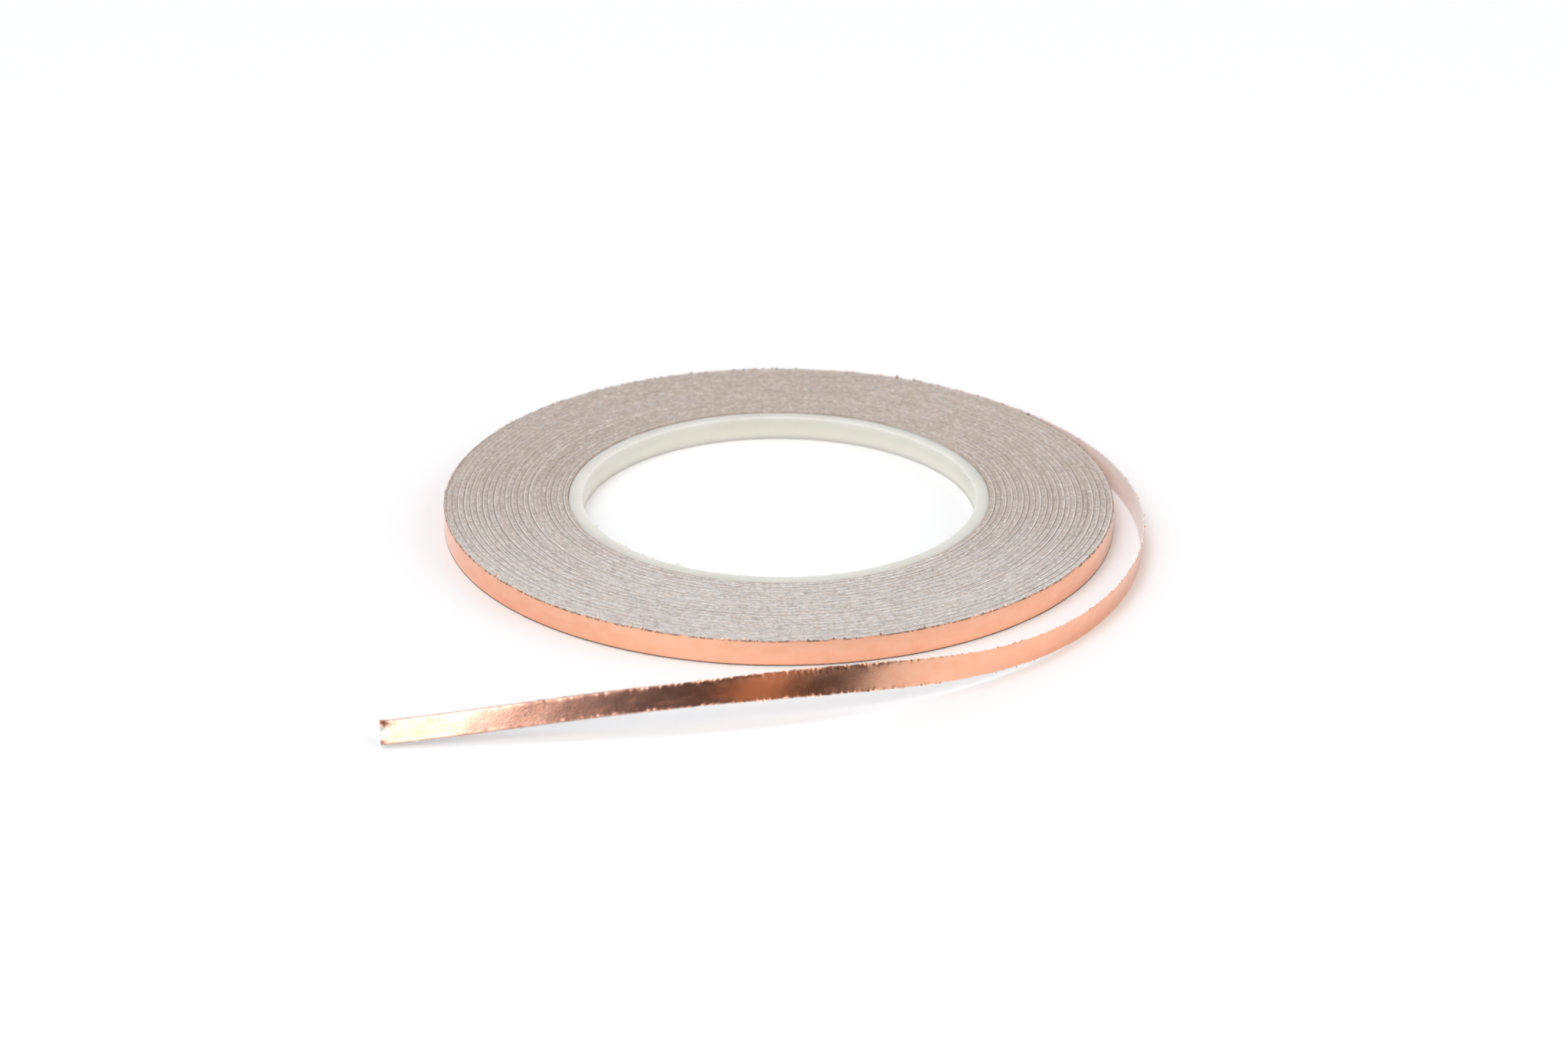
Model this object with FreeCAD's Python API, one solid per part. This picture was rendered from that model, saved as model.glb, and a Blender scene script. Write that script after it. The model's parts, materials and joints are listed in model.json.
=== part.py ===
import FreeCAD, Part

import math
import os

# A roll of copper foil tape for leaded glass work, lying flat, with its free end sprung loose.
# Units are millimetres and degrees. The roll's axis is +Z, and z = 0 is the plane it rests on.
# Seen from above, the tape winds outwards clockwise. Its copper side faces away from the core.

Vector = FreeCAD.Vector

# Core ring
core_bore_radius = 38.1
core_wall = 2.6
core_height = 4.76

# Tape: three layers, listed from the core side outwards. Its lower edges stand clear of the bench.
liner_thickness = 0.145
adhesive_thickness = 0.040
foil_thickness = 0.038
winding_slack = 0.016
tape_width = 4.76
tape_base = 0.12

# Winding, and the double-sided tab that holds its first turn to the core
turns = 100
tab_thickness = 0.06
tab_length = 15.0

# Free tail, measured along the tape from the line where it leaves the roll
peel_angle = 56.7
tail_length = 253.0
curl_radius = 74.4
curl_length = 132.4
straightening_length = 99.2
lift_height = 4.5
lift_start = 119.5
lift_span = 150.4
curl_lean = -4.8
curl_lean_length = 60.0
end_lean = 55.2
twist_start = 141.5
twist_length = 65.3

# Rigid links that stand for the flexible tail
link_count = 10
hinge_gap = 0.3
release_gap = 0.01
section_spacing = 4.0
walk_step = 0.5

# Sizes that follow from the ones above
tape_thickness = liner_thickness + adhesive_thickness + foil_thickness
pitch = tape_thickness + winding_slack
core_radius = core_bore_radius + core_wall
winding_start_radius = core_radius + tab_thickness
winding_end_radius = winding_start_radius + turns * pitch
link_length = tail_length / link_count

# Each layer's lowest and highest distance from the tape's inner face
liner_layer = (0.0, liner_thickness)
adhesive_layer = (liner_thickness, liner_thickness + adhesive_thickness)
foil_layer = (liner_thickness + adhesive_thickness, tape_thickness)


def polar(centre, radius, angle):
    """A point at an angle in radians around a centre, level with the tape's lower edge."""
    x = centre.x + radius * math.cos(angle)
    y = centre.y + radius * math.sin(angle)
    return Vector(x, y, tape_base)


def arc_edge(centre, radius, start, sweep):
    """An arc of the given sweep in radians, negative for clockwise."""
    points = [polar(centre, radius, start + sweep * part) for part in (0, 0.5, 1)]
    return Part.Arc(*points).toShape()


def spiral_edges(start_radius, turn_count):
    """Whole turns of the winding: half-turn arcs around two centres half a pitch apart, smooth where they meet."""
    split = math.radians(peel_angle)
    near = Vector(0, 0, 0)
    far = Vector(pitch / 2 * math.cos(split), pitch / 2 * math.sin(split), 0)
    edges = []
    for half_turn in range(2 * turn_count):
        centre = far if half_turn % 2 else near
        radius = start_radius + half_turn * pitch / 2
        edges.append(arc_edge(centre, radius, split - math.pi * half_turn, -math.pi))
    return edges


def ribbon_solid(inner, outer, height):
    """A solid between two chains of edges that run side by side."""
    start_edge = Part.makeLine(inner[0].firstVertex(True).Point, outer[0].firstVertex(True).Point)
    end_edge = Part.makeLine(inner[-1].lastVertex(True).Point, outer[-1].lastVertex(True).Point)
    outline = Part.Wire(inner + [end_edge] + outer[::-1] + [start_edge])
    return Part.Face(outline).extrude(Vector(0, 0, height))


def wound_layer(layer, first_turn, turn_count):
    """Some turns of one layer of the tape. Each turn starts and ends at the angle where the tail leaves."""
    base = winding_start_radius + first_turn * pitch
    inner = spiral_edges(base + layer[0], turn_count)
    outer = spiral_edges(base + layer[1], turn_count)
    return ribbon_solid(inner, outer, tape_width)


def core_ring():
    """The plain ring that the tape is wound on, sawn square from tube."""
    outside = Part.makeCylinder(core_radius, core_height)
    bore = Part.makeCylinder(core_bore_radius, core_height)
    return outside.cut(bore)


def start_tab():
    """The thin strip between the core and the first turn, ending where the winding starts."""
    centre = Vector(0, 0, 0)
    start = math.radians(peel_angle)
    sweep = -tab_length / core_radius
    inner = [arc_edge(centre, core_radius, start, sweep)]
    outer = [arc_edge(centre, winding_start_radius, start, sweep)]
    return ribbon_solid(inner, outer, tape_width)


def ease(value):
    """Rises smoothly from 0 to 1 as the value goes from 0 to 1."""
    value = min(max(value, 0.0), 1.0)
    return value * value * (3 - 2 * value)


def tail_heading(s):
    """The direction of travel in plan: an even curl that straightens steadily towards the end."""
    turned = min(s, curl_length)
    past = min(max(s - curl_length, 0.0), straightening_length)
    turned += past - past * past / (2 * straightening_length)
    return math.radians(peel_angle - 90) - turned / curl_radius


def tail_lift(s):
    """How far the tail's lower edge is raised: one gentle hump under the loose end."""
    along = min(max((s - lift_start) / lift_span, 0.0), 1.0)
    return lift_height * math.sin(math.pi * along) ** 2


def tail_lean(s):
    """How far the tail leans back towards the roll, in radians from upright."""
    lean = curl_lean * ease(s / curl_lean_length)
    lean += (end_lean - curl_lean) * ease((s - twist_start) / twist_length)
    return math.radians(lean)


def tail_point(s):
    """The middle of the tape's thickness at its lower edge, found by walking along the heading."""
    middle = winding_end_radius + tape_thickness / 2
    x = middle * math.cos(math.radians(peel_angle))
    y = middle * math.sin(math.radians(peel_angle))
    steps = max(1, math.ceil(s / walk_step))
    stride = s / steps
    for step in range(steps):
        heading = tail_heading((step + 0.5) * stride)
        x += stride * math.cos(heading)
        y += stride * math.sin(heading)
    return Vector(x, y, tape_base + tail_lift(s))


def tail_directions(s):
    """The tape's own directions: across its width, and out through its copper face."""
    heading = tail_heading(s)
    slope = (tail_lift(s + walk_step) - tail_lift(s - walk_step)) / (2 * walk_step)
    along = Vector(math.cos(heading), math.sin(heading), slope).normalize()
    outward = Vector(-math.sin(heading), math.cos(heading), 0)
    up = along.cross(outward)
    lean = tail_lean(s)
    across = up * math.cos(lean) - outward * math.sin(lean)
    face = outward * math.cos(lean) + up * math.sin(lean)
    return across, face


def tail_section(s, layer):
    """The rectangle where a layer of the tail is cut square across."""
    origin = tail_point(s)
    across, face = tail_directions(s)
    low = face * (layer[0] - tape_thickness / 2)
    high = face * (layer[1] - tape_thickness / 2)
    far = across * tape_width
    corners = [origin + low, origin + far + low, origin + far + high, origin + high]
    return Part.makePolygon(corners + corners[:1])


def tail_strip(start, end, layer):
    """A length of one layer of the tail, lofted through evenly spaced sections."""
    count = math.ceil((end - start) / section_spacing)
    places = [start + (end - start) * step / count for step in range(count + 1)]
    return Part.makeLoft([tail_section(s, layer) for s in places], True, False)


def write(node, shape):
    shape.exportStep("parts/" + node + ".step")


def write_roll():
    """The core, the tab and the winding. The outermost turn, which the tail peels from, is on its own."""
    write("core_ring", core_ring())
    write("start_tab", start_tab())
    layers = {"liner": liner_layer, "adhesive": adhesive_layer, "foil": foil_layer}
    for name, layer in layers.items():
        write("wound_" + name, wound_layer(layer, 0, turns - 1))
        write("outer_turn_" + name, wound_layer(layer, turns - 1, 1))


def write_tail():
    """All the links. The last link's foil and adhesive are a flap that peels from its liner."""
    for link in range(1, link_count):
        start = (link - 1) * link_length + hinge_gap / 2
        end = link * link_length - hinge_gap / 2
        number = str(link)
        liner_end = end if link < link_count - 1 else tail_length
        write("tail_liner_" + number, tail_strip(start, liner_end, liner_layer))
        write("tail_adhesive_" + number, tail_strip(start, end, adhesive_layer))
        write("tail_foil_" + number, tail_strip(start, end, foil_layer))
    flap_start = tail_length - link_length + hinge_gap / 2
    flap_adhesive = (adhesive_layer[0] + release_gap, adhesive_layer[1])
    write("flap_adhesive", tail_strip(flap_start, tail_length, flap_adhesive))
    write("flap_foil", tail_strip(flap_start, tail_length, foil_layer))


os.makedirs("parts", exist_ok=True)
write_roll()
write_tail()
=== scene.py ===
import json
import math

import bpy
import numpy as np
from mathutils import Matrix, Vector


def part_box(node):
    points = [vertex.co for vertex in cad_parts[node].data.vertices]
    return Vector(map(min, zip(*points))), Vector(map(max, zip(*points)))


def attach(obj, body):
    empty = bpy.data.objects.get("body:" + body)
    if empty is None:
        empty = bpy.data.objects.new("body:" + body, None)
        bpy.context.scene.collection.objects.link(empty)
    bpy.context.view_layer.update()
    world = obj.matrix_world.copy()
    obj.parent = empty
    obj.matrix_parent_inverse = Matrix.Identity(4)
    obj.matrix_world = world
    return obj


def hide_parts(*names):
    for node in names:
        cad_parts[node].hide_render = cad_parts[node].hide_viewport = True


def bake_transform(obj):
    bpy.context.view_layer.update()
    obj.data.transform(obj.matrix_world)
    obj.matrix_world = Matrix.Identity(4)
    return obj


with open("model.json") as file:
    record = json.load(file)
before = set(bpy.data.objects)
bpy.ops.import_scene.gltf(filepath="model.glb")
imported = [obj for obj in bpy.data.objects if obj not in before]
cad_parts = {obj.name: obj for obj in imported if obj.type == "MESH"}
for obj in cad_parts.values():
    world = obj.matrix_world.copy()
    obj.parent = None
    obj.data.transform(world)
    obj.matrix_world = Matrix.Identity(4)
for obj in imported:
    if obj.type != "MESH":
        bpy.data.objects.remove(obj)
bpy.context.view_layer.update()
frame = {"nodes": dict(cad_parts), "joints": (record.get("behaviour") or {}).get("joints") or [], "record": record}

# A roll of copper foil tape with a loose end, lying on a pale floor.
# Shapes are worked out in millimetres and degrees, and written to Blender in metres.
MM = 0.001

# The tape's layers, from its inner face outwards, and how it is wound
LINER = 0.145
ADHESIVE = 0.040
FOIL = 0.038
SLACK = 0.016
TURNS = 100
THICKNESS = LINER + ADHESIVE + FOIL
PITCH = THICKNESS + SLACK
LAYERS = {
    "liner": (0.0, LINER),
    "adhesive": (LINER, LINER + ADHESIVE),
    "foil": (LINER + ADHESIVE, THICKNESS),
}

# How unevenly the turns lie. The tape jumps sideways every few turns, rides up or down around each jump and
# a little at random, and may reach only so far below its mean foot. Most of the slack is pressed together
# between two jumps. TURN_SHIFT moves the texture of each turn from that of the turn before it.
JUMP_EVERY = (4.3, 5.1)
JUMP_RIDE = 0.045
RANDOM_RIDE = 0.010
LOWEST_RIDE = -0.09
LOWEST_EDGE = -0.10
PRESSED_SLACK = 0.8
TURN_SHIFT = 3.7

# The loose end, measured along the tape from where it leaves the roll
TAIL_LENGTH = 253.0
LINKS = 10
CURL_RADIUS = 74.4
CURL_LENGTH = 132.4
STRAIGHTENING = 99.2
LIFT_HEIGHT = 4.5
LIFT_START = 119.5
LIFT_SPAN = 150.4
CURL_LEAN = -4.8
CURL_LEAN_LENGTH = 60.0
END_LEAN = 55.2
TWIST_START = 141.5
TWIST_LENGTH = 65.3
TIP_LEAN = 4.5
TIP_LEAN_START = 206.0
TIP_LEAN_LENGTH = 36.0

# Slit edges: how far in from an edge its roughness dies away, the same for the upper edge of the outermost
# turn's foil, and for the fold of a torn bit there and on the loose end. For the loose end also how rough
# each layer is, how far back the adhesive stays, and how much of the tip the scissors bent.
EDGE_REACH = 0.12
LIP_REACH = 0.10
LIP_FOLD_REACH = 0.06
FOLD_REACH = 0.17
SLIT_ROUGHNESS = {"liner": 0.008, "adhesive": 0.010, "foil": 0.028}
ADHESIVE_INSET = 0.05
SNIP_REACH = 0.6

# Painted shade on the copper above the roll's foot, for the dark gap under it, and tarnish below its lip, each as
# a place and the width of its fade, and tarnish on the loose end as an outline near the tip, from its start to its
# full strength
FOOT_SHADE = (0.13, 0.10)
LIP_TARNISH = (0.28, 0.12)
OUTLINE_START, OUTLINE_FULL = 0.30, 0.12
OUTLINE_ALONG = (190.0, 220.0)

# Where the winding's looks at the front start to change towards those of its far side, in metres
FRONT_END = -0.045

# The core's rounded corners, and the places around its bore, in degrees, where the cut left shreds
RIM_ROUND = 0.15
FOOT_ROUND = 0.03
SHRED_ANGLES = (205, 222, 240, 262, 352, 8, 20)
SHRED_SPREAD = 7.0

# Light: radiance of the tent low down and overhead, of two soft boxes with their directions, and of a strip
# across the top of the tent, from behind the roll (negative) to the horizon at the front right (1).
# BOX_EDGE says how near to a box's middle its light begins and is full, as cosines.
LIGHT_STRENGTH = 0.925
TENT_LOW = (0.72, 0.72, 0.72)
TENT_HIGH = (0.72, 0.72, 0.73)
RIGHT_BOX = (1.95, 1.95, 1.92)
RIGHT_BOX_AT = (0.85, -0.18, 0.49)
FRONT_BOX = (2.7, 2.7, 2.68)
FRONT_BOX_AT = (-0.36, -0.62, 0.70)
BOX_EDGE = (0.87, 0.92)
STRIP_ANGLE = -48.0
STRIP_OFFSET = -0.06
STRIP_HALF_WIDTH = 0.14
STRIP_EDGE = 0.1
STRIP_REACH = 0.60
STRIP_END = 0.05
STRIP_COLOURS = (
    (-0.60, (0.9, 0.9, 0.9)),
    (-0.46, (1.2, 1.2, 1.18)),
    (-0.40, (4.5, 4.75, 5.3)),
    (-0.16, (4.5, 4.75, 5.3)),
    (-0.105, (3.1, 3.25, 3.8)),
    (-0.075, (0.80, 0.76, 0.80)),
    (-0.03, (0.36, 0.35, 0.38)),
    (0.02, (0.28, 0.28, 0.33)),
    (0.08, (0.085, 0.085, 0.10)),
    (0.18, (0.05, 0.04, 0.045)),
    (0.28, (0.125, 0.09, 0.08)),
    (0.46, (0.51, 0.28, 0.16)),
    (0.58, (0.44, 0.25, 0.15)),
    (0.70, (0.20, 0.13, 0.09)),
    (0.80, (0.08, 0.053, 0.045)),
    (0.90, (0.09, 0.08, 0.07)),
    (0.96, (0.22, 0.22, 0.22)),
    (1.00, (0.80, 0.80, 0.80)),
)

# Camera: places in millimetres, angles in degrees, and the nearest distance it sees, in metres
CAMERA_PLACE = (0.988, -552.818, 249.237)
CAMERA_FOCUS = (0.0, -34.48, 0.0)
CAMERA_DOWN = 24.4056
CAMERA_ROLL = 0.194
CAMERA_SENSOR = 36.0
CAMERA_LENS = 71.59
CAMERA_FSTOP = 18.0
CAMERA_NEAREST = 0.01

# The floor is a square that reaches this far each way, in metres
FLOOR_REACH = 3.0

# How finely the meshes are cut: steps in a turn of the winding, in the outermost turn, around the core, and
# in a link of the loose end
WOUND_STEPS = 180
OUTER_STEPS = 1440
CORE_STEPS = 1440
LINK_STEPS = 96

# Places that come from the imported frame
joints = {joint["name"]: joint for joint in frame["joints"]}
mounts = {mount["name"]: mount for mount in frame["record"]["mounts"]}
peel_point = np.array(joints["tail_peel"]["pos_m"]) / MM
PEEL_ANGLE = math.atan2(peel_point[1], peel_point[0])
END_RADIUS = math.hypot(peel_point[0], peel_point[1]) - THICKNESS / 2
START_RADIUS = END_RADIUS - TURNS * PITCH
TAPE_BASE = peel_point[2]
BORE_RADIUS = mounts["core_bore"]["dims"]["r_mm"]
tape_low, tape_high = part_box("outer_turn_foil")
TAPE_WIDTH = (tape_high[2] - tape_low[2]) / MM
core_low, core_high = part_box("core_ring")
CORE_RADIUS = (core_high[0] - core_low[0]) / 2 / MM
CORE_HEIGHT = (core_high[2] - core_low[2]) / MM

# Heights across the tape at which the finer meshes are cut, closest together at the slit edges
EDGE_ROWS = np.array([0.0, 0.04, 0.12, 0.3, 0.8, 1.6, 2.4])
ROWS = np.concatenate([EDGE_ROWS, TAPE_WIDTH - EDGE_ROWS[-2::-1]])


# ---------------------------------------------------------------- mesh tools

def ease(value):
    """Rises smoothly from 0 to 1 as the value goes from 0 to 1."""
    value = np.clip(value, 0.0, 1.0)
    return value * value * (3 - 2 * value)


def waves(place, lengths, seed):
    """Smooth noise of unit size: sine waves of the given lengths with random phases."""
    phases = np.random.default_rng(seed).uniform(0, 2 * math.pi, len(lengths))
    total = sum(np.sin(2 * math.pi * place / length + phase) for length, phase in zip(lengths, phases))
    return total / math.sqrt(len(lengths) / 2)


def grain(count, reach, seed):
    """Rough noise of unit size, averaged over a few neighbours."""
    rng = np.random.default_rng(seed)
    raw = rng.standard_normal(count + reach - 1)
    return np.convolve(raw, np.ones(reach) / math.sqrt(reach), "valid")


def spikes(count, share, seed):
    """Mostly 0, with a random share of places between 0 and 1, few of them large."""
    rng = np.random.default_rng(seed)
    return np.where(rng.random(count) < share, rng.random(count) ** 2, 0.0)


def edge_fade(reach):
    """How near each row is to the lower and to the upper slit edge: 1 there, dying away inwards."""
    return np.exp(-ROWS / reach)[None, :], np.exp(-(TAPE_WIDTH - ROWS) / reach)[None, :]


def tape_uv(along, across, shape):
    """Texture places in millimetres, along a piece and across it."""
    places = np.broadcast_to(along[:, None], shape), np.broadcast_to(across, shape)
    return np.stack(places, axis=-1).reshape(-1, 2)


def mesh_object(name, points, faces, uv, material, sharp_angle=35, painted_step_light=None):
    """A mesh piece from points in millimetres, with smooth shading except at sharp corners.

    The last argument gives each point's painted light for the material: above 0 a painted highlight where a turn
    stands proud, below 0 painted shade where it lies low.
    """
    mesh = bpy.data.meshes.new(name)
    mesh.from_pydata((points * MM).tolist(), [], faces)
    layer = mesh.uv_layers.new(name="tape")
    corner = np.zeros(len(mesh.loops), dtype=np.int32)
    mesh.loops.foreach_get("vertex_index", corner)
    layer.data.foreach_set("uv", uv[corner].astype(np.float32).ravel())
    if painted_step_light is not None:
        step_highlight_and_shade = mesh.attributes.new("painted_step_light", "FLOAT", "POINT")
        step_highlight_and_shade.data.foreach_set("value", painted_step_light.astype(np.float32).ravel())
    mesh.polygons.foreach_set("use_smooth", np.ones(len(mesh.polygons), dtype=bool))
    mesh.set_sharp_from_angle(angle=math.radians(sharp_angle))
    mesh.materials.append(material)
    mesh.update()
    piece = bpy.data.objects.new(name, mesh)
    bpy.context.scene.collection.objects.link(piece)
    return piece


def swept_piece(name, sections, along, across, material, painted_step_light=None):
    """A closed ribbon through a row of sections, each a ring of the same number of points.

    A ring runs up the inner side and down the outer side, with the row going clockwise seen from above.
    """
    count, ring = sections.shape[:2]
    points = sections.reshape(-1, 3)
    station = np.arange(count - 1)[:, None] * ring
    corner = np.arange(ring)[None, :]
    following = (corner + 1) % ring
    quads = np.stack([station + corner, station + ring + corner,
                      station + ring + following, station + following], axis=-1).reshape(-1, 4)
    faces = quads.tolist()
    faces.append(list(range(ring)))
    faces.append(list(range((count - 1) * ring, count * ring))[::-1])
    if painted_step_light is not None:
        painted_step_light = np.repeat(painted_step_light, ring)
    return mesh_object(name, points, faces, tape_uv(along, across, (count, ring)), material, painted_step_light=painted_step_light)


# ---------------------------------------------------------------- materials

class Nodes:
    """A short way to build a node tree."""

    def __init__(self, tree):
        self.tree = tree
        tree.nodes.clear()

    def add(self, kind, inputs=None, **settings):
        node = self.tree.nodes.new(kind)
        for key, value in settings.items():
            setattr(node, key, value)
        for key, value in (inputs or {}).items():
            if isinstance(value, bpy.types.NodeSocket):
                self.tree.links.new(value, node.inputs[key])
            else:
                node.inputs[key].default_value = value
        return node

    def math(self, operation, first, second=0.0, third=0.0):
        return self.add("ShaderNodeMath", {0: first, 1: second, 2: third}, operation=operation).outputs[0]

    def range(self, value, low, high, to_low=0.0, to_high=1.0):
        inputs = {"Value": value, "From Min": low, "From Max": high, "To Min": to_low, "To Max": to_high}
        return self.add("ShaderNodeMapRange", inputs, interpolation_type="SMOOTHSTEP").outputs[0]

    def noise(self, vector, scale, detail=3.0, roughness=0.55):
        inputs = {"Vector": vector, "Scale": scale, "Detail": detail, "Roughness": roughness}
        return self.add("ShaderNodeTexNoise", inputs).outputs[0]

    def scaled(self, vector, scale):
        return self.add("ShaderNodeVectorMath", {0: vector, 1: scale}, operation="MULTIPLY").outputs[0]

    def far_side(self, coordinates):
        """0 at the front of the roll, rising to 1 at its middle and beyond."""
        axis = self.add("ShaderNodeSeparateXYZ", {0: coordinates.outputs["Object"]})
        return self.range(axis.outputs["Y"], FRONT_END, 0.0)

    def mix(self, factor, first, second):
        node = self.add("ShaderNodeMix", data_type="RGBA")
        for index, value in ((0, factor), (6, first), (7, second)):
            if isinstance(value, bpy.types.NodeSocket):
                self.tree.links.new(value, node.inputs[index])
            else:
                node.inputs[index].default_value = value
        return node.outputs[2]

    def bump(self, height, strength, distance):
        inputs = {"Height": height, "Strength": strength, "Distance": distance}
        return self.add("ShaderNodeBump", inputs).outputs[0]


def new_material(name):
    material = bpy.data.materials.new(name)
    material.use_nodes = True
    return material, Nodes(material.node_tree)


def finish_material(nodes, inputs):
    surface = nodes.add("ShaderNodeBsdfPrincipled", inputs)
    nodes.add("ShaderNodeOutputMaterial", {"Surface": surface.outputs[0]})


def copper_material(name, on_roll):
    """Bright rolled copper: fine lines along the tape, faint tarnish and small handling dents.

    On the roll the slit edge next to the floor carries painted shade, for the dark gap under the roll, and the
    upper one is tarnished in patches; on the loose end both are tarnished only near the tip.
    """
    material, nodes = new_material(name)
    coordinates = nodes.add("ShaderNodeTexCoord")
    place = coordinates.outputs["UV"]
    lines = nodes.noise(nodes.scaled(place, (0.25, 14.0, 1.0)), 1.0, 4.0, 0.6)
    blotches = nodes.noise(nodes.scaled(place, (0.35, 0.5, 1.0)), 1.0, 4.0, 0.6)
    dents = nodes.noise(nodes.scaled(place, (2.3, 3.2, 1.0)), 1.0, 4.0, 0.6)
    tint = nodes.mix(nodes.range(blotches, 0.35, 0.7), (0.93, 0.505, 0.345, 1), (0.91, 0.455, 0.295, 1))
    rough = nodes.math("ADD", nodes.range(lines, 0.3, 0.7, 0.10, 0.18),
                       nodes.range(blotches, 0.4, 0.8, 0.0, 0.08))
    if on_roll:
        height = nodes.add("ShaderNodeSeparateXYZ", {0: coordinates.outputs["Object"]}).outputs["Z"]
        foot = TAPE_BASE + FOOT_SHADE[0]
        lip = TAPE_BASE + TAPE_WIDTH - LIP_TARNISH[0]
        flecks = nodes.noise(nodes.scaled(place, (0.9, 0.2, 1.0)), 1.0, 3.0, 0.7)
        # Painted shade: the copper darkens towards the roll's foot, where the narrow gap above the floor lies in
        # shade
        painted_foot_shade = nodes.range(height, foot * MM, (foot + FOOT_SHADE[1]) * MM, 0.85, 0.0)
        at_lip = nodes.range(height, lip * MM, (lip + LIP_TARNISH[1]) * MM)
        patches = nodes.math("MULTIPLY", at_lip, nodes.range(flecks, 0.45, 0.54))
        tarnish_and_painted_shade = nodes.math("MAXIMUM", painted_foot_shade, nodes.math("MULTIPLY", patches, 0.8))
        dark = (0.16, 0.11, 0.09, 1)
    else:
        spot = nodes.add("ShaderNodeSeparateXYZ", {0: place})
        aside = nodes.math("ABSOLUTE", nodes.math("SUBTRACT", spot.outputs["Y"], TAPE_WIDTH / 2))
        at_edge = nodes.range(aside, TAPE_WIDTH / 2 - OUTLINE_START, TAPE_WIDTH / 2 - OUTLINE_FULL)
        near_tip = nodes.range(spot.outputs["X"], *OUTLINE_ALONG, 0.0, 0.85)
        tarnish_and_painted_shade = nodes.math("MULTIPLY", at_edge, near_tip)
        dark = (0.30, 0.15, 0.10, 1)
    # Mixes in the tarnish, and on the roll also the painted shade at the foot
    tint = nodes.mix(tarnish_and_painted_shade, tint, dark)
    rough = nodes.math("MAXIMUM", rough, nodes.math("MULTIPLY", tarnish_and_painted_shade, 0.6))
    fine = nodes.noise(nodes.scaled(place, (5.0, 7.0, 1.0)), 1.0, 3.0, 0.6)
    relief = nodes.math("ADD", dents, nodes.math("MULTIPLY", lines, 0.12))
    relief = nodes.math("ADD", relief, nodes.math("MULTIPLY", fine, 0.22))
    finish_material(nodes, {
        "Base Color": tint,
        "Metallic": 1.0,
        "Roughness": rough,
        "Normal": nodes.bump(relief, 0.45, 0.00004),
    })
    return material


def liner_material():
    """White release paper: smooth, with a faint fibre."""
    material, nodes = new_material("release_paper")
    place = nodes.add("ShaderNodeTexCoord").outputs["UV"]
    fibre = nodes.noise(nodes.scaled(place, (1.2, 5.0, 1.0)), 1.0, 5.0, 0.65)
    cloud = nodes.noise(nodes.scaled(place, (0.12, 0.4, 1.0)), 1.0, 2.0, 0.5)
    tone = nodes.mix(nodes.range(nodes.math("MULTIPLY", fibre, cloud), 0.12, 0.4),
                     (0.86, 0.825, 0.80, 1), (0.94, 0.915, 0.895, 1))
    finish_material(nodes, {
        "Base Color": tone,
        "Roughness": nodes.range(fibre, 0.3, 0.7, 0.38, 0.55),
        "Specular IOR Level": 0.4,
        "Normal": nodes.bump(fibre, 0.25, 0.00003),
    })
    return material


def wound_edge_material():
    """The liner's slit edge in the winding: grey, streaked along the turns, with a few tan specks.

    The texture's place across the tape grows by TURN_SHIFT a turn, so it tells which turns are the first.
    """
    material, nodes = new_material("release_paper_edge")
    coordinates = nodes.add("ShaderNodeTexCoord")
    place = coordinates.outputs["UV"]
    streak = nodes.noise(nodes.scaled(place, (0.45, 1.3, 1.0)), 1.0, 3.0, 0.7)
    fine = nodes.noise(nodes.scaled(place, (1.7, 2.9, 1.0)), 1.0, 3.0, 0.7)
    specks = nodes.noise(nodes.scaled(place, (0.8, 2.3, 1.0)), 1.0, 1.0, 0.5)
    grit = nodes.noise(coordinates.outputs["Object"], 1500.0, 2.0, 0.6)
    bands = nodes.noise(nodes.scaled(place, (0.55, 0.24, 1.0)), 1.0, 4.0, 0.7)
    stain = nodes.noise(coordinates.outputs["Object"], 1100.0, 1.0, 0.5)
    step_highlight_and_shade = nodes.add("ShaderNodeAttribute", attribute_name="painted_step_light").outputs["Fac"]
    across = nodes.add("ShaderNodeSeparateXYZ", {0: place}).outputs["Y"]
    far_side = nodes.far_side(coordinates)
    clean = nodes.mix(far_side, (0.76, 0.715, 0.675, 1), (0.62, 0.525, 0.455, 1))
    worn = nodes.mix(far_side, (0.59, 0.545, 0.51, 1), (0.47, 0.385, 0.325, 1))
    tone = nodes.mix(nodes.range(streak, 0.36, 0.66), worn, clean)
    pale, dark = (0.92, 0.90, 0.88, 1), (0.30, 0.28, 0.27, 1)
    for value, low, high, strength, colour in (
            (fine, 0.60, 0.72, 0.45, pale),
            (fine, 0.40, 0.28, 0.45, dark),
            (grit, 0.54, 0.68, 0.45, pale),
            (grit, 0.45, 0.31, 0.55, dark),
            (bands, 0.52, 0.66, 0.55, pale),
            (bands, 0.47, 0.33, 0.75, dark),
            (stain, 0.56, 0.68, 0.35, (0.60, 0.44, 0.33, 1)),
            (stain, 0.42, 0.30, 0.30, (0.60, 0.63, 0.70, 1)),
            # Painted highlight on the proud turn before each jump, and painted shade on the low turn after it
            (step_highlight_and_shade, 0.15, 0.9, 0.50, (0.97, 0.95, 0.93, 1)),
            (step_highlight_and_shade, -0.15, -0.9, 0.70, (0.33, 0.29, 0.26, 1)),
            (specks, 0.735, 0.77, 0.6, (0.45, 0.27, 0.15, 1)),
            (across, 12.0, 8.5, 0.3, (0.50, 0.34, 0.22, 1))):
        tone = nodes.mix(nodes.range(value, low, high, 0.0, strength), tone, colour)
    finish_material(nodes, {
        "Base Color": tone,
        "Roughness": 0.75,
        "Specular IOR Level": 0.25,
        "Normal": nodes.bump(fine, 0.3, 0.00003),
    })
    return material


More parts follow.
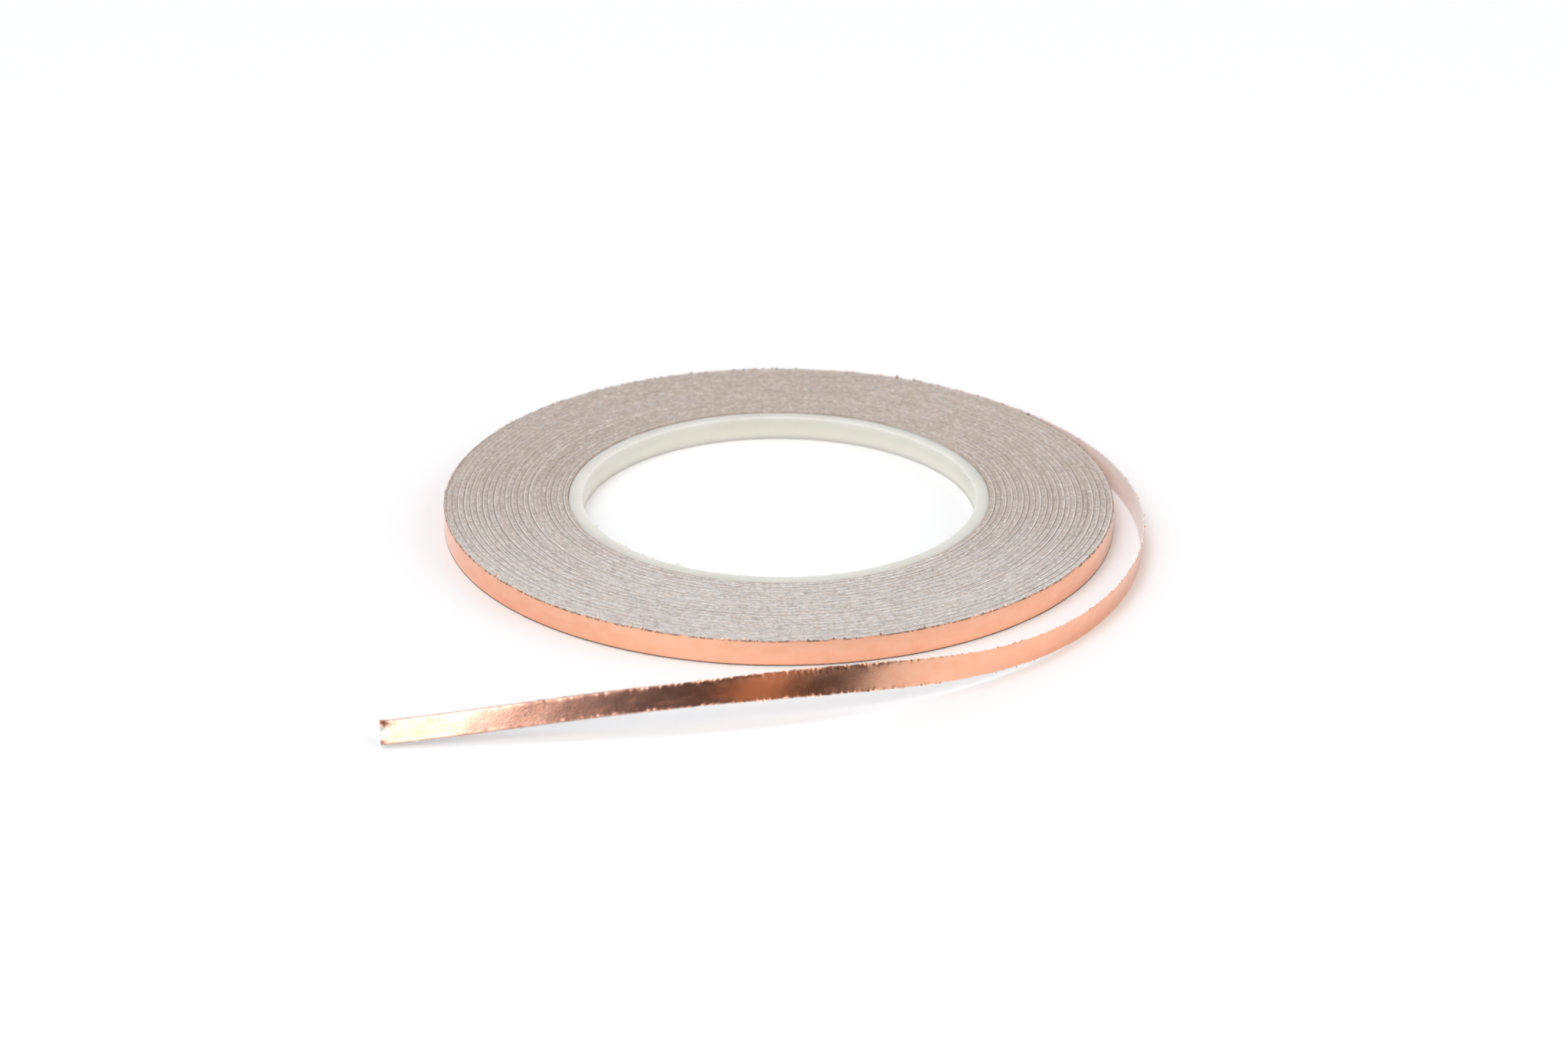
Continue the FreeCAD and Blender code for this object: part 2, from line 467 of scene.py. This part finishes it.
def slit_copper_material():
    """The foil's slit edge in the winding: dull, oxidised and smeared with adhesive."""
    material, nodes = new_material("copper_slit_edge")
    coordinates = nodes.add("ShaderNodeTexCoord")
    smear = nodes.noise(nodes.scaled(coordinates.outputs["UV"], (0.9, 2.1, 1.0)), 1.0, 3.0, 0.7)
    dull = nodes.mix(nodes.far_side(coordinates), (0.50, 0.43, 0.385, 1), (0.50, 0.385, 0.325, 1))
    tone = nodes.mix(nodes.range(smear, 0.45, 0.75), dull, (0.66, 0.50, 0.41, 1))
    finish_material(nodes, {
        "Base Color": tone,
        "Metallic": 0.3,
        "Roughness": nodes.range(smear, 0.3, 0.7, 0.45, 0.7),
        "Normal": nodes.bump(smear, 0.3, 0.00003),
    })
    return material


def adhesive_material():
    """Tacky film, slightly straw-coloured, with dust held in its edge."""
    material, nodes = new_material("adhesive_film")
    place = nodes.add("ShaderNodeTexCoord").outputs["UV"]
    dust = nodes.noise(nodes.scaled(place, (1.3, 2.0, 1.0)), 1.0, 4.0, 0.7)
    tone = nodes.mix(nodes.range(dust, 0.4, 0.7), (0.60, 0.55, 0.48, 1), (0.47, 0.42, 0.37, 1))
    finish_material(nodes, {
        "Base Color": tone,
        "Roughness": nodes.range(dust, 0.35, 0.7, 0.2, 0.5),
        "Coat Weight": 0.4,
        "Coat Roughness": 0.15,
        "Normal": nodes.bump(dust, 0.3, 0.00003),
    })
    return material


def core_material():
    """Natural cut plastic tube: milky, a little green, with saw marks and cloudy depth. Painted shade darkens its
    upward cut rim, and painted light brightens its walls towards the floor.
    """
    material, nodes = new_material("core_milky_plastic")
    coordinates = nodes.add("ShaderNodeTexCoord")
    place = coordinates.outputs["UV"]
    marks = nodes.noise(nodes.scaled(place, (1.1, 6.0, 1.0)), 1.0, 4.0, 0.65)
    cloud = nodes.noise(coordinates.outputs["Object"], 60.0, 3.0, 0.5)
    facing = nodes.add("ShaderNodeSeparateXYZ", {0: nodes.add("ShaderNodeNewGeometry").outputs["Normal"]})
    # Painted shade: faces turned upwards, the cut rim, get a darker colour than the walls, since more light falls
    # on them
    painted_shade_on_top_faces = nodes.range(facing.outputs["Z"], 0.2, 0.8)
    axis = nodes.add("ShaderNodeSeparateXYZ", {0: coordinates.outputs["Object"]})
    # Painted light: the walls get a lighter colour towards the floor, against the shade that falls there
    painted_light_low_on_wall = nodes.range(axis.outputs["Z"], 0.0045, 0.0005)
    wall = nodes.mix(painted_light_low_on_wall, (0.62, 0.62, 0.565, 1), (0.82, 0.80, 0.68, 1))
    wall = nodes.mix(nodes.range(cloud, 0.35, 0.65, 0.0, 0.2), wall, (0.82, 0.82, 0.77, 1))
    rim_with_painted_shade = nodes.mix(nodes.range(cloud, 0.35, 0.65), (0.63, 0.62, 0.55, 1), (0.68, 0.67, 0.60, 1))
    tone = nodes.mix(painted_shade_on_top_faces, wall, rim_with_painted_shade)
    tone = nodes.mix(nodes.range(marks, 0.58, 0.75, 0.0, 0.3), tone, (0.78, 0.77, 0.71, 1))
    finish_material(nodes, {
        "Base Color": tone,
        "Roughness": nodes.range(marks, 0.3, 0.7, 0.38, 0.6),
        "Subsurface Weight": 0.8,
        "Subsurface Radius": (1.0, 1.0, 0.85),
        "Subsurface Scale": 0.004,
        "Specular IOR Level": 0.45,
        "Normal": nodes.bump(marks, 0.25, 0.00006),
    })
    return material


def floor_material():
    """Plain white paper sweep."""
    material, nodes = new_material("floor_white")
    place = nodes.add("ShaderNodeTexCoord").outputs["Object"]
    tooth = nodes.noise(place, 900.0, 2.0, 0.5)
    finish_material(nodes, {
        "Base Color": (0.948, 0.950, 0.948, 1),
        "Roughness": 0.4,
        "Specular IOR Level": 0.5,
        "Normal": nodes.bump(tooth, 0.05, 0.00003),
    })
    return material


# ---------------------------------------------------------------- winding

def winding_places(seed=11):
    """Where the tape jumps sideways as it is wound: every few turns, at random angles."""
    rng = np.random.default_rng(seed)
    places = np.cumsum(rng.uniform(*JUMP_EVERY, int(TURNS / JUMP_EVERY[0])))
    return places[places < TURNS - 0.5]


JUMPS = winding_places()


def since_jump(turned):
    """Turns since the last jump, at each place along the winding."""
    edges = np.concatenate([[0.0], JUMPS])
    return turned - edges[np.searchsorted(edges, turned, side="right") - 1]


def jump_proudness(turned):
    """Above 0 on the proud turn just before a jump, and below 0 on the low turn just after it."""
    since = since_jump(turned)
    to_next = np.concatenate([JUMPS, [TURNS + 3.0]])[np.searchsorted(JUMPS, turned, side="right")] - turned
    dip = ease(since / 0.06) * (1 - ease((since - 0.85) / 0.15)) * (turned > JUMPS[0])
    proud = 1 - ease((to_next - 0.80) / 0.15)
    # The steps, and the painted highlight and shade they carry, are stronger where the turns run along the view
    sideways = np.abs(np.cos(PEEL_ANGLE - 2 * math.pi * turned))
    strength = (0.34 + 0.42 * sideways) * (0.85 + 0.15 * waves(turned, (7.3, 3.1, 1.9), 5))
    return (proud - dip) * strength


def wander(turned):
    """How far the tape rides above its mean height: proud just before a jump and low for a turn after."""
    return JUMP_RIDE * jump_proudness(turned) + RANDOM_RIDE * waves(turned, (1.7, 0.61, 0.23), 6)


def tightness(turned):
    """How far the turns are pressed inwards, so the slack of a few turns opens as one gap at each jump."""
    since = since_jump(turned)
    return -PRESSED_SLACK * SLACK * np.maximum(since - 1, 0)


def wound_frame(first_turn, turn_count, steps):
    """Turns wound so far, centre, radius and angle at each station of a stretch of the winding."""
    station = np.arange(first_turn * steps, (first_turn + turn_count) * steps + 1)
    turned = station / steps
    half = np.minimum(station * 2 // steps, 2 * (first_turn + turn_count) - 1)
    centre = (half % 2)[:, None] * PITCH / 2 * np.array([[math.cos(PEEL_ANGLE), math.sin(PEEL_ANGLE)]])
    radius = START_RADIUS + half * PITCH / 2 + tightness(turned)
    angle = PEEL_ANGLE - 2 * math.pi * turned
    return turned, centre, radius, angle


def wound_piece(name, layer, first_turn, turn_count, steps, profile, material):
    """A stretch of one layer. profile gives each station's ring as heights and distances outwards."""
    turned, centre, radius, angle = wound_frame(first_turn, turn_count, steps)
    heights, outs = profile(turned, layer)
    reach = radius[:, None] + outs
    x = centre[:, :1] + reach * np.cos(angle)[:, None]
    y = centre[:, 1:] + reach * np.sin(angle)[:, None]
    along = 2 * math.pi * (START_RADIUS * turned + PITCH * turned ** 2 / 2)
    across = heights + turned[:, None] * TURN_SHIFT
    sections = np.stack([x, y, TAPE_BASE + heights], axis=-1)
    # The painted highlight and shade on the wound edges follow how proud or low each turn lies
    return swept_piece(name, sections, along, across, material, painted_step_light=jump_proudness(turned))


def plain_profile(top_drop, rough, seed):
    """A four-cornered section whose slit edges are a little uneven."""
    def profile(turned, layer):
        count = len(turned)
        ride = wander(turned)
        low = np.maximum(0.5 * ride, LOWEST_RIDE) + rough * grain(count, 2, seed)
        high = TAPE_WIDTH + ride - top_drop + rough * grain(count, 2, seed + 1)
        low = np.maximum(low, LOWEST_EDGE)
        heights = np.stack([low, high, high, low], axis=1)
        outs = np.broadcast_to([layer[0], layer[0], layer[1], layer[1]], (count, 4))
        return heights, outs
    return profile


def burr_profile(turned, layer):
    """The outermost turn's foil: many points across, with a slightly rolled, ragged slit edge."""
    count = len(turned)
    ride = wander(turned)[:, None]
    low_edge = edge_fade(EDGE_REACH)[0]
    high_edge = edge_fade(LIP_REACH)[1]
    fold = edge_fade(LIP_FOLD_REACH)[1]
    torn_out = spikes(count, 0.10, 23)
    torn_in = spikes(count, 0.25, 27)
    ragged_low = 0.02 * grain(count, 2, 21)[:, None]
    ragged_high = (0.03 * grain(count, 2, 22) + 0.45 * (torn_out + torn_in))[:, None]
    heights = ROWS[None, :] + np.maximum(ride, LOWEST_RIDE)
    heights = heights + ragged_low * low_edge + ragged_high * high_edge
    curl_high = ((0.20 * torn_out - 0.34 * torn_in)[:, None] * fold
                 - (0.015 + 0.025 * np.abs(grain(count, 3, 24)))[:, None] * high_edge)
    curl_low = (0.006 + 0.010 * np.abs(grain(count, 3, 25)))[:, None] * low_edge
    crinkle = 0.006 * waves(turned * 2 * math.pi * END_RADIUS, (31.0, 17.0, 9.0, 5.3), 26)[:, None]
    outer = layer[1] + curl_high + curl_low + crinkle * np.sin(math.pi * ROWS / TAPE_WIDTH)[None, :]
    inner = layer[0] + curl_high + curl_low
    return (np.concatenate([heights, heights[:, ::-1]], axis=1),
            np.concatenate([inner, outer[:, ::-1]], axis=1))


def build_winding(copper, slit_copper, edge, film):
    """Every turn of the three layers, with the outermost turn finer than the rest."""
    inner_turns = TURNS - 1
    settings = {
        "liner": (edge, edge, plain_profile(0.0, 0.010, 31), plain_profile(0.0, 0.010, 32)),
        "adhesive": (film, film, plain_profile(0.05, 0.012, 33), plain_profile(0.05, 0.010, 34)),
        "foil": (slit_copper, copper, plain_profile(0.04, 0.015, 35), burr_profile),
    }
    for name, (inner_material, outer_material, inner_profile, outer_profile) in settings.items():
        layer = LAYERS[name]
        wound = wound_piece("winding_" + name, layer, 0, inner_turns, WOUND_STEPS,
                            inner_profile, inner_material)
        outer = wound_piece("top_turn_" + name, layer, inner_turns, 1, OUTER_STEPS,
                            outer_profile, outer_material)
        for piece, node in ((wound, "wound_" + name), (outer, "outer_turn_" + name)):
            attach(piece, "roll")
            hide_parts(node)


# ---------------------------------------------------------------- core

def rounded_corner(corner_r, corner_z, size, start):
    """Points that round one corner of the core's section, in a quarter turn from the start direction."""
    middle_r = corner_r + (size if corner_r == BORE_RADIUS else -size)
    middle_z = corner_z + (size if corner_z == 0 else -size)
    directions = start - np.linspace(0, math.pi / 2, 5)
    return [(middle_r + size * math.cos(direction), middle_z + size * math.sin(direction))
            for direction in directions]


def core_profile():
    """The core's section, clockwise from the top of the bore: distance from the axis, and height."""
    top_width = CORE_RADIUS - BORE_RADIUS - 2 * RIM_ROUND
    bore_height = CORE_HEIGHT - 2 * RIM_ROUND
    top = [(BORE_RADIUS + RIM_ROUND + part * top_width, CORE_HEIGHT) for part in (0.25, 0.5, 0.75)]
    bore = [(BORE_RADIUS, RIM_ROUND + part * bore_height) for part in (0.2, 0.4, 0.6, 0.8, 0.92)]
    return np.array(rounded_corner(BORE_RADIUS, CORE_HEIGHT, RIM_ROUND, math.pi) + top
                    + rounded_corner(CORE_RADIUS, CORE_HEIGHT, RIM_ROUND, math.pi / 2)
                    + rounded_corner(CORE_RADIUS, 0.0, FOOT_ROUND, 0.0)
                    + rounded_corner(BORE_RADIUS, 0.0, FOOT_ROUND, -math.pi / 2) + bore)


def build_core(material):
    """The ring the tape is wound on: cut plastic tube with softened rims and shreds left by the cut."""
    angle = np.arange(CORE_STEPS) * 2 * math.pi / CORE_STEPS
    arc = angle * BORE_RADIUS
    profile = core_profile()
    ring = len(profile)
    radius = np.tile(profile[:, 0], (CORE_STEPS, 1))
    height = np.tile(profile[:, 1], (CORE_STEPS, 1))
    top = ease((profile[:, 1] - CORE_HEIGHT + 0.3) / 0.3)[None, :]
    inner = ease((BORE_RADIUS + 0.4 - profile[:, 0]) / 0.4)[None, :]
    sway = 0.03 * (np.sin(7 * angle + 1.0) + 0.7 * np.sin(17 * angle + 0.4))
    height += (sway[:, None] * 0.5 + 0.008 * grain(CORE_STEPS, 3, 41)[:, None]) * top
    off = np.degrees(angle)[:, None] - np.array([SHRED_ANGLES])
    shredded = 0.25 + np.exp(-(off / SHRED_SPREAD) ** 2).sum(axis=1)
    shreds = np.convolve(spikes(CORE_STEPS, 0.09, 43), (0.4, 1.0, 0.5), "same")
    ragged = np.abs(grain(CORE_STEPS, 3, 42)) * 0.06 + 0.80 * shreds
    radius -= (ragged * shredded)[:, None] * top * inner
    height += (0.40 * spikes(CORE_STEPS, 0.12, 44) * shredded)[:, None] * top * inner
    radius += 0.015 * waves(arc, (23.0, 11.0, 6.1), 45)[:, None] * inner * (1 - top)
    x = radius * np.cos(angle)[:, None]
    y = radius * np.sin(angle)[:, None]
    points = np.stack([x, y, height], axis=-1).reshape(-1, 3)
    station = np.arange(CORE_STEPS)[:, None] * ring
    following = (np.arange(CORE_STEPS)[:, None] + 1) % CORE_STEPS * ring
    corner = np.arange(ring)[None, :]
    beside = (corner + 1) % ring
    faces = np.stack([station + corner, station + beside,
                      following + beside, following + corner], axis=-1).reshape(-1, 4)
    walk = np.concatenate([[0], np.cumsum(np.hypot(*np.diff(profile, axis=0).T))])
    uv = tape_uv(arc, walk[None, :], (CORE_STEPS, ring))
    piece = mesh_object("core", points, faces.tolist(), uv, material, sharp_angle=50)
    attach(piece, "roll")
    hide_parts("core_ring")


# ---------------------------------------------------------------- loose end

def tail_heading(s):
    """The direction of travel in plan: an even curl that straightens steadily towards the end."""
    past = np.clip(s - CURL_LENGTH, 0.0, STRAIGHTENING)
    turned = np.minimum(s, CURL_LENGTH) + past - past * past / (2 * STRAIGHTENING)
    return PEEL_ANGLE - math.pi / 2 - turned / CURL_RADIUS


def tail_lift(s):
    """How far the lower edge is raised: one gentle hump under the loose end."""
    along = np.clip((s - LIFT_START) / LIFT_SPAN, 0.0, 1.0)
    return LIFT_HEIGHT * np.sin(math.pi * along) ** 2


def tail_lean(s):
    """How far the tape leans back towards the roll, in radians from upright."""
    lean = CURL_LEAN * ease(s / CURL_LEAN_LENGTH)
    lean = lean + (END_LEAN - CURL_LEAN) * ease((s - TWIST_START) / TWIST_LENGTH)
    settling = np.clip((s - TIP_LEAN_START) / TIP_LEAN_LENGTH, 0.0, 1.0)
    return np.radians(lean + TIP_LEAN * settling ** 2)


def tail_frame():
    """Stations along the tail: place of the lower edge, and the directions across and out of the tape."""
    s = np.linspace(0.0, TAIL_LENGTH, LINKS * LINK_STEPS + 1)
    stride = s[1] - s[0]
    middle = tail_heading(s[:-1] + stride / 2)
    x = peel_point[0] + np.concatenate([[0.0], np.cumsum(stride * np.cos(middle))])
    y = peel_point[1] + np.concatenate([[0.0], np.cumsum(stride * np.sin(middle))])
    origin = np.stack([x, y, TAPE_BASE + tail_lift(s)], axis=1)
    heading = tail_heading(s)
    slope = (tail_lift(s + stride) - tail_lift(s - stride)) / (2 * stride)
    along = np.stack([np.cos(heading), np.sin(heading), slope], axis=1)
    along /= np.linalg.norm(along, axis=1)[:, None]
    outward = np.stack([-np.sin(heading), np.cos(heading), np.zeros_like(s)], axis=1)
    up = np.cross(along, outward)
    lean = tail_lean(s)[:, None]
    across = up * np.cos(lean) - outward * np.sin(lean)
    face = outward * np.cos(lean) + up * np.sin(lean)
    return s, origin, across, face


def tail_sections(layer_name, s, origin, across, face):
    """The rings of one layer along the whole tail, and each point's distance across the tape."""
    count = len(s)
    low, high = (edge - THICKNESS / 2 for edge in LAYERS[layer_name])
    free = ease((s - 120) / 60)[:, None]
    bow = np.sin(math.pi * ROWS / TAPE_WIDTH)[None, :]
    slow = waves(s, (23.0, 13.1, 7.7), 51)[:, None]
    quick = waves(s, (4.9, 3.3, 2.1), 52)[:, None] * np.cos(ROWS * 1.9 + 0.7)[None, :]
    crinkle = (0.006 + 0.003 * free) * (slow * bow + 0.15 * quick)
    low_edge, high_edge = edge_fade(EDGE_REACH)
    fold_low, fold_high = edge_fade(FOLD_REACH)
    rough = SLIT_ROUGHNESS[layer_name]
    burr = 1.0 if layer_name == "foil" else 0.0
    inset = ADHESIVE_INSET if layer_name == "adhesive" else 0.0
    # The tears are smaller where the lower edge is close to the floor, and towards the tip
    clear_of_floor = np.clip(tail_lift(s) / 0.5, 0.25, 1.0)
    cleaner = 1 - 0.8 * ease((s - 205) / 25)
    torn_low = (spikes(count, 0.34, 54) - spikes(count, 0.10, 60)) * np.minimum(clear_of_floor, cleaner)
    torn_high = (spikes(count, 0.06, 56) - spikes(count, 0.50, 61)) * cleaner
    shift_low = inset - (rough * grain(count, 2, 53) + 0.20 * burr * np.abs(torn_low))[:, None]
    shift_high = (rough * grain(count, 2, 55) + 0.20 * burr * np.abs(torn_high))[:, None] - inset
    rows_now = ROWS[None, :] + shift_low * low_edge + shift_high * high_edge
    curl = burr * ((0.003 + 0.008 * np.abs(grain(count, 3, 58)))[:, None] * low_edge
                   - (0.012 + 0.016 * np.abs(grain(count, 3, 57)))[:, None] * high_edge)
    curl = curl + 0.32 * torn_high[:, None] * fold_high + 0.26 * torn_low[:, None] * fold_low
    snipped = np.exp((s - TAIL_LENGTH) / SNIP_REACH)[:, None]
    curl = curl - burr * 0.20 * snipped * waves(ROWS, (3.9, 2.2, 1.3), 59)[None, :]
    outs_low = low + crinkle + curl
    outs_high = high + crinkle + curl
    ring_rows = np.concatenate([rows_now, rows_now[:, ::-1]], axis=1)
    ring_outs = np.concatenate([outs_low, outs_high[:, ::-1]], axis=1)
    sections = (origin[:, None, :] + ring_rows[:, :, None] * across[:, None, :]
                + ring_outs[:, :, None] * face[:, None, :])
    return sections, ring_rows


def tail_piece(name, shape, first, last, material):
    """One stretch of a layer, between two stations."""
    s, sections, rows = shape
    stretch = slice(first, last + 1)
    piece = swept_piece(name, sections[stretch], s[stretch], rows[stretch], material)
    return piece


def build_tail(copper, paper, film):
    """The loose end, in stretches from the middle of one link to the middle of the next, and its flap."""
    s, origin, across, face = tail_frame()
    middle = LINK_STEPS // 2
    tip = LINKS * LINK_STEPS
    flap_start = (LINKS - 1) * LINK_STEPS
    bodies = ["roll"] + ["tail_%d" % link for link in range(1, LINKS)]
    for layer_name, material in (("liner", paper), ("adhesive", film), ("foil", copper)):
        shape = (s, *tail_sections(layer_name, s, origin, across, face))
        for link in range(LINKS - 1):
            first = max(link * LINK_STEPS - middle, 0)
            last = link * LINK_STEPS + middle
            name = "tail_%s_bend_%d" % (layer_name, link)
            piece = tail_piece(name, shape, first, last, material)
            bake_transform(piece)
        name = "tail_%s_end" % layer_name
        last = tip if layer_name == "liner" else flap_start
        piece = tail_piece(name, shape, flap_start - middle, last, material)
        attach(piece, bodies[-1])
        for link in range(1, LINKS):
            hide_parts("tail_%s_%d" % (layer_name, link))
        if layer_name != "liner":
            name = "flap_%s_curl" % layer_name
            flap = tail_piece(name, shape, flap_start, tip, material)
            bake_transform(flap)
            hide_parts("flap_" + layer_name)


# ---------------------------------------------------------------- stage

def build_floor():
    """A flat square of paper under the roll."""
    corners = [(x * FLOOR_REACH, y * FLOOR_REACH, 0) for x, y in ((-1, -1), (1, -1), (1, 1), (-1, 1))]
    mesh = bpy.data.meshes.new("floor")
    mesh.from_pydata(corners, [], [(0, 1, 2, 3)])
    mesh.materials.append(floor_material())
    floor = bpy.data.objects.new("floor", mesh)
    bpy.context.scene.collection.objects.link(floor)


def build_light():
    """A white tent with two soft boxes, and a strip that is bright behind the roll and dim in front."""
    world = bpy.data.worlds.new("studio")
    world.use_nodes = True
    bpy.context.scene.world = world
    nodes = Nodes(world.node_tree)
    direction = nodes.add("ShaderNodeTexCoord").outputs["Generated"]
    x, y, z = nodes.add("ShaderNodeSeparateXYZ", {0: direction}).outputs
    turn = math.radians(STRIP_ANGLE)
    along = nodes.math("MULTIPLY_ADD", x, math.cos(turn), nodes.math("MULTIPLY", y, math.sin(turn)))
    across = nodes.math("MULTIPLY_ADD", x, -math.sin(turn), nodes.math("MULTIPLY", y, math.cos(turn)))
    reached = nodes.math("DIVIDE", nodes.math("ADD", along, STRIP_REACH), 1 + STRIP_REACH)
    ramp = nodes.add("ShaderNodeValToRGB", {0: reached})
    elements = ramp.color_ramp.elements
    while len(elements) > 1:
        elements.remove(elements[0])
    for index, (place, colour) in enumerate(STRIP_COLOURS):
        position = (place + STRIP_REACH) / (1 + STRIP_REACH)
        element = elements[0] if index == 0 else elements.new(position)
        element.position = position
        element.color = (*colour, 1)
    tent = nodes.mix(nodes.range(z, 0.0, 0.6), (*TENT_LOW, 1), (*TENT_HIGH, 1))
    for box, box_at in ((RIGHT_BOX, RIGHT_BOX_AT), (FRONT_BOX, FRONT_BOX_AT)):
        nearness = nodes.add("ShaderNodeVectorMath", {0: direction, 1: box_at}, operation="DOT_PRODUCT")
        tent = nodes.mix(nodes.range(nearness.outputs["Value"], *BOX_EDGE), tent, (*box, 1))
    aside = nodes.math("ABSOLUTE", nodes.math("SUBTRACT", across, STRIP_OFFSET))
    beside = nodes.range(aside, STRIP_HALF_WIDTH, STRIP_HALF_WIDTH + STRIP_EDGE, 1.0, 0.0)
    begun = nodes.range(along, -STRIP_REACH, -STRIP_REACH + STRIP_END)
    colour = nodes.mix(nodes.math("MULTIPLY", beside, begun), tent, ramp.outputs[0])
    background = nodes.add("ShaderNodeBackground", {"Color": colour, "Strength": LIGHT_STRENGTH})
    nodes.add("ShaderNodeOutputWorld", {"Surface": background.outputs[0]})


def build_camera():
    """The camera, with its focus kept on the roll from wherever it looks."""
    data = bpy.data.cameras.new("camera")
    data.sensor_width = CAMERA_SENSOR
    data.lens = CAMERA_LENS
    data.clip_start = CAMERA_NEAREST
    focus = bpy.data.objects.new("focus", None)
    focus.location = [value * MM for value in CAMERA_FOCUS]
    data.dof.use_dof = True
    data.dof.focus_object = focus
    data.dof.aperture_fstop = CAMERA_FSTOP
    camera = bpy.data.objects.new("camera", data)
    for thing in (focus, camera):
        bpy.context.scene.collection.objects.link(thing)
    look_down = Matrix.Rotation(math.radians(90 - CAMERA_DOWN), 4, "X")
    roll = Matrix.Rotation(math.radians(CAMERA_ROLL), 4, "Z")
    place = Matrix.Translation([value * MM for value in CAMERA_PLACE])
    camera.matrix_world = place @ look_down @ roll
    bpy.context.scene.camera = camera


copper = copper_material("copper_rolled", on_roll=False)
paper = liner_material()
film = adhesive_material()
edge = wound_edge_material()
build_winding(copper_material("copper_outer_turn", on_roll=True), slit_copper_material(), edge, film)
build_core(core_material())
build_tail(copper, paper, film)
tab = frame["nodes"]["start_tab"]
tab.data.materials.clear()
tab.data.materials.append(film)
build_floor()
build_light()
build_camera()
bpy.context.scene.view_settings.view_transform = "Standard"
